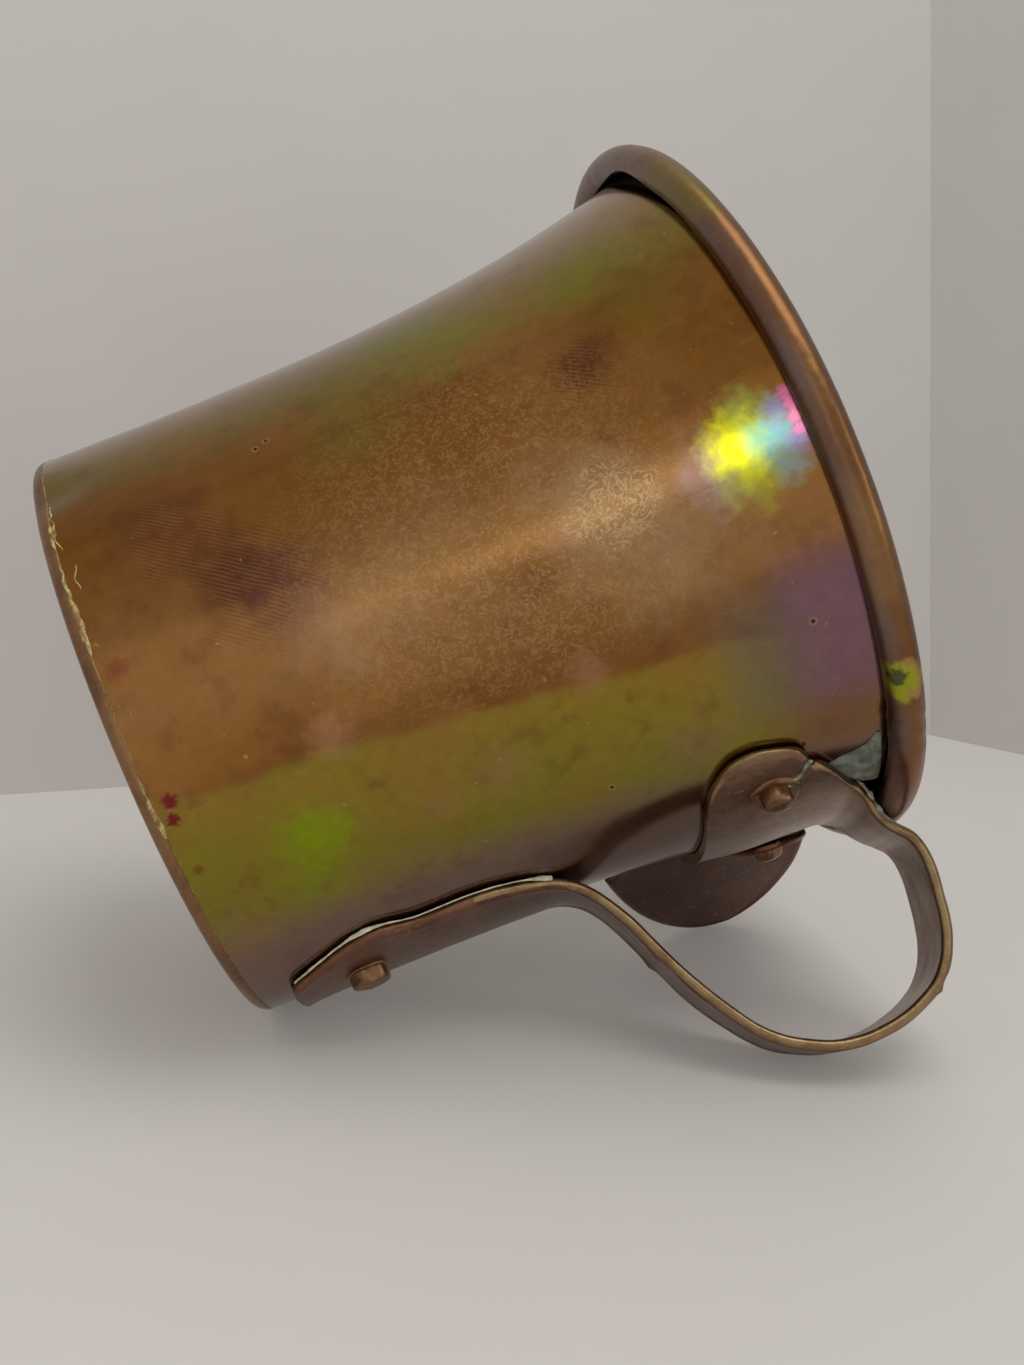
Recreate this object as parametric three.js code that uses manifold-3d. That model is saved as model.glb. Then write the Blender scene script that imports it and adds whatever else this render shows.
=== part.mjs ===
// Copper mug: a raised, flared copper wall with a rim rolled over a wire, a flat base brazed on,
// and a looped strap handle riveted on by a spear-shaped lower terminal and a winged upper terminal.
// Units are millimetres. +Z is up, the origin is the centre of the flat base face, and the handle
// lies along +X. Angles around the mug are measured from +X towards +Y.

import * as THREE from 'three';
import { mergeVertices } from 'three/addons/utils/BufferGeometryUtils.js';
import ManifoldModule from 'manifold-3d';

const wasm = await ManifoldModule();
wasm.setup();

// ---- Driving dimensions ----

const baseRadius = 36.4;
const neckRadius = 43.3; // outside of the wall just under the rim
const neckHeight = 76.8;
const flarePower = 3.0; // how late the wall starts to flare
const wallThickness = 1.0;
const touchGap = 0.3; // clearance between pieces that touch

const baseThickness = 0.9;
const baseCornerRadius = 0.5;
const brazeHeight = 0.5;
const brazeDepth = 1.5; // how far the braze reaches in under the wall

const rollRadius = 2.05; // outside of the rolled rim's section
const rollCentreRadius = 45.4;
const rollCentreHeight = 78.9;
const rollSheet = 0.8;
const rollStartAngle = 158; // degrees in the section, where the wall runs into the roll
const rollEndAngle = -112; // the roll's free lip, which stops short of the wall

const strapThickness = 1.2;
const strapHalfWidth = 6.0;
const crackWidth = 0.5;
const crackLength = 10.0; // from the front rivet out past the wing's edge
const crackLean = 30; // degrees above level
const crackDepth = 8.0; // deep enough to cut right through the strip

const wingThickness = 1.0;
const wingNormalAngle = -22; // degrees, the way the flat leaf's underside faces
const wingPlaneDistance = 25.2; // from the mug's axis to the leaf's middle plane
const wingTip = 58.3; // along the leaf, from the foot of that perpendicular
const wingFootAngle = 12; // where the riveted foot starts
const wingFootCentre = 68.0;
const wingFootHalfWidth = 5.5;
const leafCentre = 61.6;
const leafHalfWidth = 15.8;
const leafLean = 2.8; // the tip stands this much higher than the leaf's middle
const footRoundShare = 0.45; // how much of the foot's length its round end takes
const leafRootReach = 0.18; // where on its oval the leaf starts, from 0 at the widest to 1 at the tip
const leafSpreadShare = 0.2; // how much of the leaf's length the foot's edges take to open out

const shankRadius = 1.2;
const innerHeadRadius = 2.4;
const innerHeadHeight = 0.8;

const lowerRivet = { height: 14.2, angle: -6, headRadius: 2.1, headHeight: 1.7, stack: strapThickness };
const frontRivet = { height: 64.7, angle: -22, headRadius: 1.8, headHeight: 1.7, stack: strapThickness };
const rearRivet = {
  height: 68.5,
  angle: 20,
  headRadius: 1.8,
  headHeight: 1.7,
  stack: strapThickness + touchGap + wingThickness,
};

const aroundSegments = 64;

// ---- Shared helpers ----

const radians = THREE.MathUtils.degToRad;

function wallRadius(height) {
  return baseRadius + (neckRadius - baseRadius) * (Math.max(height, 0) / neckHeight) ** flarePower;
}

function onCircle(radius, angle, height) {
  return new THREE.Vector3(radius * Math.cos(angle), radius * Math.sin(angle), height);
}

function upright(latheGeometry) {
  return latheGeometry.rotateX(Math.PI / 2); // a lathe turns about Y, and the mug stands along Z
}

function closed(geometry) {
  const bare = geometry.clone();
  bare.deleteAttribute('normal');
  bare.deleteAttribute('uv');
  return mergeVertices(bare, 1e-4);
}

function toManifold(geometry) {
  const merged = closed(geometry);
  return new wasm.Manifold(new wasm.Mesh({
    numProp: 3,
    vertProperties: new Float32Array(merged.attributes.position.array),
    triVerts: new Uint32Array(merged.index.array),
  }));
}

function cutAway(geometry, cutters) {
  let solid = toManifold(geometry);
  for (const cutter of cutters) {
    solid = solid.subtract(toManifold(cutter));
  }
  const mesh = solid.getMesh();
  const result = new THREE.BufferGeometry();
  result.setAttribute('position', new THREE.BufferAttribute(new Float32Array(mesh.vertProperties), 3));
  result.setIndex(new THREE.BufferAttribute(new Uint32Array(mesh.triVerts), 1));
  return result;
}

// A thin sheet laid over a grid. place(row, column, side) returns the point on the sheet's lower
// face (side -1) or upper face (side +1). The two faces and the four edges close into one body.
function sheetGeometry(rows, columns, place) {
  const positions = [];
  const indices = [];
  for (const side of [-1, 1]) {
    for (let row = 0; row <= rows; row += 1) {
      for (let column = 0; column <= columns; column += 1) {
        positions.push(...place(row, column, side).toArray());
      }
    }
  }
  const faceSize = (rows + 1) * (columns + 1);
  const lower = (row, column) => row * (columns + 1) + column;
  const upper = (row, column) => faceSize + lower(row, column);
  const quad = (a, b, c, d) => indices.push(a, b, c, a, c, d);
  for (let row = 0; row < rows; row += 1) {
    for (let column = 0; column < columns; column += 1) {
      const corners = [[row, column], [row + 1, column], [row + 1, column + 1], [row, column + 1]];
      quad(...corners.map(([r, c]) => upper(r, c)));
      quad(...corners.reverse().map(([r, c]) => lower(r, c)));
    }
    quad(lower(row, 0), lower(row + 1, 0), upper(row + 1, 0), upper(row, 0));
    quad(lower(row + 1, columns), lower(row, columns), upper(row, columns), upper(row + 1, columns));
  }
  for (let column = 0; column < columns; column += 1) {
    quad(lower(0, column + 1), lower(0, column), upper(0, column), upper(0, column + 1));
    quad(lower(rows, column), lower(rows, column + 1), upper(rows, column + 1), upper(rows, column));
  }
  const geometry = new THREE.BufferGeometry();
  geometry.setAttribute('position', new THREE.Float32BufferAttribute(positions, 3));
  geometry.setIndex(indices);
  return geometry;
}

// Takes a piece drawn along +X, with x = 0 on the wall's outer face, and stands it square to the wall.
function standOnWall(geometry, { height, angle }) {
  const rise = 0.5;
  const slope = Math.atan((wallRadius(height + rise) - wallRadius(height - rise)) / (2 * rise));
  geometry.rotateY(slope);
  geometry.translate(wallRadius(height), 0, height);
  return geometry.rotateZ(radians(angle));
}

function rivetHole(place) {
  const hole = new THREE.CylinderGeometry(shankRadius + touchGap, shankRadius + touchGap, 12, 20);
  return standOnWall(hole.rotateZ(-Math.PI / 2), place);
}

// ---- Materials ----

const copper = new THREE.MeshStandardMaterial({ color: 0x8a5a2f, roughness: 0.38, metalness: 1.0 });
const darkCopper = new THREE.MeshStandardMaterial({ color: 0x5a3524, roughness: 0.45, metalness: 1.0 });
const strapCopper = new THREE.MeshStandardMaterial({ color: 0x8b6444, roughness: 0.4, metalness: 1.0 });
const rivetCopper = new THREE.MeshStandardMaterial({ color: 0x9a6a45, roughness: 0.35, metalness: 1.0 });
const brass = new THREE.MeshStandardMaterial({ color: 0xb79a4e, roughness: 0.5, metalness: 1.0 });
const iron = new THREE.MeshStandardMaterial({ color: 0x55504c, roughness: 0.6, metalness: 1.0 });
const solder = new THREE.MeshStandardMaterial({ color: 0xa9b09a, roughness: 0.8, metalness: 0.4 });

const mug = new THREE.Group();

function addPart(name, geometry, material) {
  const finished = closed(geometry);
  finished.computeVertexNormals();
  const mesh = new THREE.Mesh(finished, material);
  mesh.name = name;
  mug.add(mesh);
}

// ---- Base: a flat disc with a softened lower corner ----

function baseDisc() {
  const profile = [new THREE.Vector2(0, 0)];
  for (let step = 0; step <= 4; step += 1) {
    const angle = -Math.PI / 2 + (step / 4) * (Math.PI / 2);
    profile.push(new THREE.Vector2(
      baseRadius - baseCornerRadius + baseCornerRadius * Math.cos(angle),
      baseCornerRadius + baseCornerRadius * Math.sin(angle),
    ));
  }
  profile.push(new THREE.Vector2(baseRadius, baseThickness));
  profile.push(new THREE.Vector2(0, baseThickness));
  return upright(new THREE.LatheGeometry(profile, aroundSegments));
}

// ---- Braze: the brass seam between the base and the wall ----

const brazeBottom = baseThickness + touchGap;
const wallBottom = brazeBottom + brazeHeight + touchGap;

function baseBrazeRing() {
  const profile = [
    new THREE.Vector2(baseRadius - brazeDepth, brazeBottom),
    new THREE.Vector2(baseRadius, brazeBottom),
    new THREE.Vector2(baseRadius, brazeBottom + brazeHeight),
    new THREE.Vector2(baseRadius - brazeDepth, brazeBottom + brazeHeight),
    new THREE.Vector2(baseRadius - brazeDepth, brazeBottom),
  ];
  return upright(new THREE.LatheGeometry(profile, aroundSegments));
}

// ---- Wall: one sheet from the base to the lip of the rolled rim ----

function sectionPoint(radius, degrees) {
  return new THREE.Vector2(
    rollCentreRadius + radius * Math.cos(radians(degrees)),
    rollCentreHeight + radius * Math.sin(radians(degrees)),
  );
}

function rollArc(radius, steps) {
  const arc = [];
  for (let step = 0; step <= steps; step += 1) {
    arc.push(sectionPoint(radius, THREE.MathUtils.lerp(rollStartAngle, rollEndAngle, step / steps)));
  }
  return arc;
}

function bodyWall() {
  const wallSteps = 9;
  const rollSteps = 12;
  const outside = [];
  const inside = [];
  for (let step = 0; step <= wallSteps; step += 1) {
    const height = THREE.MathUtils.lerp(wallBottom, neckHeight, step / wallSteps);
    outside.push(new THREE.Vector2(wallRadius(height), height));
    inside.push(new THREE.Vector2(wallRadius(height) - wallThickness, height));
  }
  // The outside of the wall becomes the inside of the roll, and the other way round.
  const profile = [
    ...outside,
    ...rollArc(rollRadius - rollSheet, rollSteps),
    ...rollArc(rollRadius, rollSteps).reverse(),
    ...inside.reverse(),
    outside[0].clone(),
  ];
  const wall = upright(new THREE.LatheGeometry(profile, aroundSegments));
  return cutAway(wall, [lowerRivet, frontRivet, rearRivet].map(rivetHole));
}

// ---- Rim wire: the stiffening wire inside the roll ----

function rimWire() {
  const wireRadius = rollRadius - rollSheet - touchGap;
  const profile = [];
  for (let side = 0; side <= 8; side += 1) {
    profile.push(sectionPoint(wireRadius, side * 45));
  }
  return upright(new THREE.LatheGeometry(profile, aroundSegments));
}

// ---- Handle strap: one strip from the lower terminal round the finger loop to the upper terminal ----

// Each station has the strap's middle line in the handle's plane (x, z), its half width, and how far
// the strip is wrapped round the wall: 1 on the wall, 0 where the strip is flat across. The half width on
// the +Y side is given as `far` where it differs.
const strapOffset = touchGap + strapThickness / 2;

function wallStation([z, half, far = half]) {
  return { x: wallRadius(z) + strapOffset, z, half, far, wrap: 1 };
}

const lowerTerminal = [
  [5.4, 7.0], [7.0, 8.6], [9.5, 10.3], [12.5, 12.0], [16.0, 13.3], [18.5, 13.0], [21.5, 12.0],
  [24.5, 12.0], [28.0, 12.1], [31.5, 11.7], [35.0, 10.6], [38.0, 8.7],
].map(wallStation);

const fingerLoop = [
  { x: 38.7, z: 40.3, half: 7.2, wrap: 0.7 },
  { x: 40.6, z: 42.4, half: strapHalfWidth, wrap: 0.3 },
  { x: 44.7, z: 44.7, half: strapHalfWidth, wrap: 0 },
  { x: 51.2, z: 47.3, half: strapHalfWidth, wrap: 0 },
  { x: 57.6, z: 50.5, half: strapHalfWidth, wrap: 0 },
  { x: 63.2, z: 54.7, half: strapHalfWidth, wrap: 0 },
  { x: 66.4, z: 60.2, half: strapHalfWidth, wrap: 0 },
  { x: 67.3, z: 65.6, half: strapHalfWidth, wrap: 0 },
  { x: 66.5, z: 70.8, half: strapHalfWidth, wrap: 0 },
  { x: 64.3, z: 75.2, half: strapHalfWidth, wrap: 0 },
  { x: 60.5, z: 78.0, half: strapHalfWidth, wrap: 0 },
  { x: 55.4, z: 79.5, half: strapHalfWidth, wrap: 0 },
  { x: 52.0, z: 80.1, half: strapHalfWidth, wrap: 0.1 },
  { x: 49.8, z: 79.7, half: 6.1, far: 6.0, wrap: 0.3 },
  { x: 48.5, z: 78.4, half: 6.4, far: 6.0, wrap: 0.6 },
  { x: 47.9, z: 77.1, half: 7.0, far: 6.1, wrap: 0.9 },
  { x: 46.5, z: 76.0, half: 8.2, far: 6.3, wrap: 1 },
  { x: 45.0, z: 75.5, half: 9.6, far: 6.8, wrap: 1 },
  { x: 44.1, z: 74.7, half: 11.6, far: 8.0, wrap: 1 },
];

const upperTerminal = [
  [73.4, 14.4, 11.5], [71.4, 17.9, 17.2], [69.6, 20.0], [68.4, 21.2], [66.5, 22.9], [63.0, 23.3],
  [60.6, 22.5], [58.6, 20.5], [57.3, 17.0], [56.6, 11.5],
].map(wallStation);

const strapStations = [...lowerTerminal, ...fingerLoop, ...upperTerminal];

function handleStrap() {
  const stepsPerStation = 2;
  const rows = (strapStations.length - 1) * stepsPerStation;
  const columns = 10;
  const points = strapStations.map(({ x, z }) => new THREE.Vector3(x, 0, z));
  const line = new THREE.CatmullRomCurve3(points, false, 'centripetal');

  function place(row, column, side) {
    const along = row / rows;
    const before = Math.min(Math.floor(row / stepsPerStation), strapStations.length - 2);
    const share = row / stepsPerStation - before;
    const [start, end] = [strapStations[before], strapStations[before + 1]];
    const near = THREE.MathUtils.lerp(start.half, end.half, share);
    const far = THREE.MathUtils.lerp(start.far ?? start.half, end.far ?? end.half, share);
    const wrap = THREE.MathUtils.lerp(start.wrap, end.wrap, share);
    const middle = line.getPoint(along);
    const tangent = line.getTangent(along);
    const across = THREE.MathUtils.lerp(far, -near, column / columns);
    const turn = across / middle.x;
    const depth = (side * strapThickness) / 2;
    const radius = middle.x + depth * tangent.z;
    return new THREE.Vector3(
      THREE.MathUtils.lerp(radius, radius * Math.cos(turn), wrap),
      THREE.MathUtils.lerp(across, radius * Math.sin(turn), wrap),
      middle.z - depth * tangent.x,
    );
  }

  // The crack in the front wing runs from the rivet hole to the notch in the wing's edge.
  const crackOutline = new THREE.Shape();
  crackOutline.moveTo(0, -crackWidth / 4);
  crackOutline.lineTo(crackLength, -crackWidth);
  crackOutline.lineTo(crackLength, crackWidth);
  crackOutline.lineTo(0, crackWidth / 4);
  const crack = new THREE.ExtrudeGeometry(crackOutline, { depth: crackDepth, bevelEnabled: false });
  crack.rotateZ(radians(crackLean));
  crack.rotateX(Math.PI / 2);
  crack.rotateZ(-Math.PI / 2);
  crack.translate(wallRadius(frontRivet.height) - crackDepth / 2, 0, frontRivet.height);
  crack.rotateZ(radians(frontRivet.angle));

  const holes = [lowerRivet, frontRivet, rearRivet].map(rivetHole);
  return cutAway(sheetGeometry(rows, columns, place), [...holes, crack]);
}

// ---- Rear wing: a leaf riveted over the rear of the upper terminal and bent away from the wall ----

function rearWing() {
  const footRows = 8;
  const leafRows = 18;
  const rows = footRows + leafRows;
  const columns = 10;
  const normal = onCircle(1, radians(wingNormalAngle), 0);
  const outward = onCircle(1, radians(wingNormalAngle + 90), 0);
  const footOffset = touchGap + strapThickness + touchGap + wingThickness / 2;
  const bluntTip = 0.05; // the share of the full width left at the very end of an oval
  const ovalWidth = (reach) => Math.sqrt(Math.max(1 - reach ** 2, bluntTip ** 2));

  // The middle line at one height: along the foot for part 0 to 1, then along the leaf for 1 to 2.
  function middleAt(part, height) {
    const radius = wallRadius(height) + footOffset;
    const rootAlong = Math.sqrt(radius ** 2 - wingPlaneDistance ** 2);
    const rootAngle = Math.atan2(rootAlong, wingPlaneDistance) + radians(wingNormalAngle);
    if (part <= 1) {
      return onCircle(radius, THREE.MathUtils.lerp(radians(wingFootAngle), rootAngle, part), height);
    }
    const along = THREE.MathUtils.lerp(rootAlong, wingTip, part - 1);
    return normal.clone().multiplyScalar(wingPlaneDistance).addScaledVector(outward, along).setZ(height);
  }

  // The wing's lower and upper edge: a round-ended foot, then an oval leaf.
  function edgesAt(part) {
    const footHalf = wingFootHalfWidth * ovalWidth(1 - Math.min(part / footRoundShare, 1));
    const reach = Math.max(THREE.MathUtils.lerp(leafRootReach, 1, part - 1), 0);
    const leafHalf = leafHalfWidth * ovalWidth(reach);
    const spread = THREE.MathUtils.smoothstep(part, 1, 1 + leafSpreadShare);
    const centre = THREE.MathUtils.lerp(wingFootCentre, leafCentre + leafLean * reach, spread);
    const half = THREE.MathUtils.lerp(footHalf, leafHalf, spread);
    return [centre - half, centre + half];
  }

  const partStep = 0.02;

  function place(row, column, side) {
    const leafShare = Math.max(row - footRows, 0) / leafRows;
    const part = Math.min(row / footRows, 1) + Math.sin(leafShare * (Math.PI / 2));
    const [low, high] = edgesAt(part);
    const height = THREE.MathUtils.lerp(low, high, column / columns);
    const middle = middleAt(part, height);
    const ahead = middleAt(Math.min(part + partStep, 2), height);
    const direction = ahead.sub(middleAt(Math.max(part - partStep, 0), height));
    const face = new THREE.Vector3(direction.y, -direction.x, 0).normalize();
    return middle.addScaledVector(face, (side * wingThickness) / 2);
  }

  return cutAway(sheetGeometry(rows, columns, place), [rivetHole(rearRivet)]);
}

// ---- Rivets: a stout flat-ended head outside, the shank, and a low head inside the mug ----

function rivet(place) {
  const { headRadius, headHeight, stack } = place;
  const headBase = touchGap + stack + touchGap;
  const innerBase = -wallThickness - touchGap;
  const bevel = 0.25; // softened edge of both heads
  const profile = [
    [0, innerBase - innerHeadHeight],
    [innerHeadRadius - bevel, innerBase - innerHeadHeight],
    [innerHeadRadius, innerBase - innerHeadHeight + bevel],
    [innerHeadRadius, innerBase],
    [shankRadius, innerBase],
    [shankRadius, headBase],
    [headRadius, headBase],
    [headRadius, headBase + headHeight - bevel],
    [headRadius - bevel, headBase + headHeight],
    [0, headBase + headHeight],
  ].map(([radius, along]) => new THREE.Vector2(radius, along));
  return standOnWall(new THREE.LatheGeometry(profile, 20).rotateZ(-Math.PI / 2), place);
}

// ---- Solder: the bead along the lower terminal's front edge, and the fillet under the rim ----

function terminalSolderBead() {
  const beadRadius = 0.35;
  const clearance = touchGap + beadRadius + 0.1; // a little extra where the terminal's edge curves
  const points = lowerTerminal.slice(1).map(({ z, half }) => {
    const radius = wallRadius(z) + clearance;
    return onCircle(radius, -(half + clearance) / radius, z);
  });
  const section = new THREE.Shape();
  section.absarc(0, 0, beadRadius, 0, Math.PI * 2);
  return new THREE.ExtrudeGeometry(section, {
    steps: 40,
    curveSegments: 6,
    extrudePath: new THREE.CatmullRomCurve3(points, false, 'centripetal'),
  });
}

// The fillet fills the corner between the upper terminal's sloping shoulder and the rim's underside.
// Each end has its angle and the height of the shoulder there.
function rimSolderFillet() {
  const rows = 10;
  const columns = 4;
  const thickness = 1.3;
  const deepEnd = { angle: -25, shoulder: 72.1 };
  const shallowEnd = { angle: -13, shoulder: 76.1 };
  const ceiling = rollCentreHeight - rollRadius - touchGap;

  function place(row, column, side) {
    const degrees = THREE.MathUtils.lerp(deepEnd.angle, shallowEnd.angle, row / rows);
    const shoulder = THREE.MathUtils.lerp(deepEnd.shoulder, shallowEnd.shoulder, row / rows);
    const height = THREE.MathUtils.lerp(shoulder, ceiling, column / columns);
    const localThickness = thickness * THREE.MathUtils.lerp(0.5, 1, column / columns);
    const lift = touchGap + ((side + 1) / 2) * localThickness;
    return onCircle(wallRadius(height) + lift, radians(degrees), height);
  }

  return sheetGeometry(rows, columns, place);
}

// ---- Assembly ----

addPart('base_disc', baseDisc(), copper);
addPart('base_braze_ring', baseBrazeRing(), brass);
addPart('body_wall', bodyWall(), copper);
addPart('rim_wire', rimWire(), iron);
addPart('handle_strap', handleStrap(), strapCopper);
addPart('rear_wing', rearWing(), darkCopper);
addPart('rivet_lower', rivet(lowerRivet), rivetCopper);
addPart('rivet_upper_front', rivet(frontRivet), rivetCopper);
addPart('rivet_upper_rear', rivet(rearRivet), rivetCopper);
addPart('terminal_solder_bead', terminalSolderBead(), solder);
addPart('rim_solder_fillet', rimSolderFillet(), solder);

export default mug;
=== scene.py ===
"""Copper mug lying on its handle: heat-tinted wall, rolled rim, strap handle, rivets and solder.

Shapes are worked out in millimetres in the part's own frame: +Z runs from the base to the mouth, the
handle lies along +X, and angles are measured from +X towards +Y. Only the finished points are metres.
"""

import math

import bpy
from mathutils import Matrix, Vector, noise


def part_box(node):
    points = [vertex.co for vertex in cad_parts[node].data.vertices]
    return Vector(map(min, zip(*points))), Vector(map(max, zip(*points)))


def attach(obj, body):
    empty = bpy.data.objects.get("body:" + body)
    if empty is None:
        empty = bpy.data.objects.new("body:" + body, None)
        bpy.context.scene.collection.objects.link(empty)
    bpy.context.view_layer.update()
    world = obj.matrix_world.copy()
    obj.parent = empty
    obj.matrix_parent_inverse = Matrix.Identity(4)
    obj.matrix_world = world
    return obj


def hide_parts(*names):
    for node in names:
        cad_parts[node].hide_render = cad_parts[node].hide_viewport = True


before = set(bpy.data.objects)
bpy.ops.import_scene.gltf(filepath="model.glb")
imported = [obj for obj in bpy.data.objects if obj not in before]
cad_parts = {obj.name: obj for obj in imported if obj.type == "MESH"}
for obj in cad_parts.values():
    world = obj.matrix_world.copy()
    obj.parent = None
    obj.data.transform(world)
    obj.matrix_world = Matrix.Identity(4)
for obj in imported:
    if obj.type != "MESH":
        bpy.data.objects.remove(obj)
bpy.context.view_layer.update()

MM = 0.001

# ---- Sizes taken from the fixed frame ----

BASE_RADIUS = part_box("base_disc")[1].x / MM
RIM_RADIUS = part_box("body_wall")[1].x / MM
RIM_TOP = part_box("body_wall")[1].z / MM
NECK_RADIUS = 43.3
NECK_HEIGHT = 76.8
FLARE_POWER = 3.0
WALL_THICKNESS = 1.0
WALL_BOTTOM = 1.6
ROLL_RADIUS = 2.05
ROLL_CENTRE_RADIUS = RIM_RADIUS - ROLL_RADIUS
ROLL_CENTRE_HEIGHT = RIM_TOP - ROLL_RADIUS
ROLL_SHEET = 0.6
STRAP_THICKNESS = 1.2
STRAP_OFFSET = 0.74
FLAT_DEPTH = 1.7
FLAT_DEGREES = 8
FLAT_SPREAD = 24

# ---- Small maths helpers ----


def lerp(a, b, share):
    return a + (b - a) * share


def clamp(value, low=0.0, high=1.0):
    return max(low, min(high, value))


def smooth(value, low, high):
    share = clamp((value - low) / (high - low))
    return share * share * (3 - 2 * share)


def bump_at(value, centre, width):
    return math.exp(-(((value - centre) / width) ** 2))


def angle_gap(a, b):
    return (a - b + 180) % 360 - 180


def wall_radius(height):
    share = max(height, 0) / NECK_HEIGHT
    return BASE_RADIUS + (NECK_RADIUS - BASE_RADIUS) * share**FLARE_POWER


def on_circle(radius, degrees, height):
    turn = math.radians(degrees)
    return Vector((radius * math.cos(turn), radius * math.sin(turn), height))


def ripple(point, size, seed=0.0):
    """Smooth noise from -1 to 1 with features about `size` millimetres across."""
    return noise.noise(Vector(point) / size + Vector((seed, seed * 1.7, -seed)))


def curve_at(values, position):
    """Catmull-Rom through the rows of `values`, with one step of `position` from row to row."""
    index = int(clamp(position, 0, len(values) - 1.001))
    share = position - index
    picks = [values[int(clamp(index + k, 0, len(values) - 1))] for k in (-1, 0, 1, 2)]
    result = []
    for a, b, c, d in zip(*picks):
        square = 2 * a - 5 * b + 4 * c - d
        cube = 3 * b - a - 3 * c + d
        result.append(0.5 * (2 * b + (c - a) * share + square * share**2 + cube * share**3))
    return result


# ---- Mesh building ----


def flattened(point):
    """The mouth is pressed slightly out of round where the handle joins it."""
    around = math.hypot(point[0], point[1])
    degrees = math.degrees(math.atan2(point[1], point[0]))
    push = FLAT_DEPTH * bump_at(degrees, FLAT_DEGREES, FLAT_SPREAD)
    push *= smooth(point[2], 60, 76) * smooth(around, 58, 47)
    return Vector((point[0] * (1 - push / around), point[1] * (1 - push / around), point[2]))


def make_piece(name, points, faces, materials, slots=None, smooth_angle=40):
    mesh = bpy.data.meshes.new(name)
    mesh.from_pydata([flattened(p) * MM for p in points], [], faces)
    for material in materials:
        mesh.materials.append(material)
    if slots is not None:
        mesh.polygons.foreach_set("material_index", slots)
    mesh.validate()
    mesh.update()
    piece = bpy.data.objects.new(name, mesh)
    bpy.context.scene.collection.objects.link(piece)
    mesh.shade_smooth()
    mesh.set_sharp_from_angle(angle=math.radians(smooth_angle))
    return piece


def skin_faces(rows, columns, around=False, start=0):
    """Faces between closed loops of points. `around` also joins the last loop to the first; otherwise both
    ends are capped. `start` is the first point's number."""
    faces = []
    for row in range(rows if around else rows - 1):
        near = start + row * columns
        far = start + (row + 1) % rows * columns
        for column in range(columns):
            beside = (column + 1) % columns
            faces.append((near + column, near + beside, far + beside, far + column))
    if not around:
        last = start + (rows - 1) * columns
        faces.append(tuple(range(start + columns - 1, start - 1, -1)))
        faces.append(tuple(range(last, last + columns)))
    return faces


def loops_piece(name, loops, materials, around=False, slot_of=None, smooth_angle=40):
    """Closed loops of points joined into one closed skin. slot_of(row, column) gives a face's material."""
    rows, columns = len(loops), len(loops[0])
    points = [p for loop in loops for p in loop]
    slots = None
    if slot_of:
        bands = rows if around else rows - 1
        slots = [slot_of(row, column) for row in range(bands) for column in range(columns)]
        if not around:
            slots += [slots[0], slots[-1]]
    return make_piece(name, points, skin_faces(rows, columns, around), materials, slots, smooth_angle)


def turned_piece(name, profile, materials, steps, shift=None, slot_of=None):
    """A closed (radius, height) profile turned round the axis. shift(point, degrees) moves each point."""
    loops = []
    for step in range(steps):
        degrees = 360 * step / steps
        loop = [on_circle(radius, degrees, height) for radius, height in profile(degrees)]
        loops.append([shift(point, degrees) for point in loop] if shift else loop)
    return loops_piece(name, loops, materials, around=True, slot_of=slot_of)


# ---- Material building ----


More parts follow.
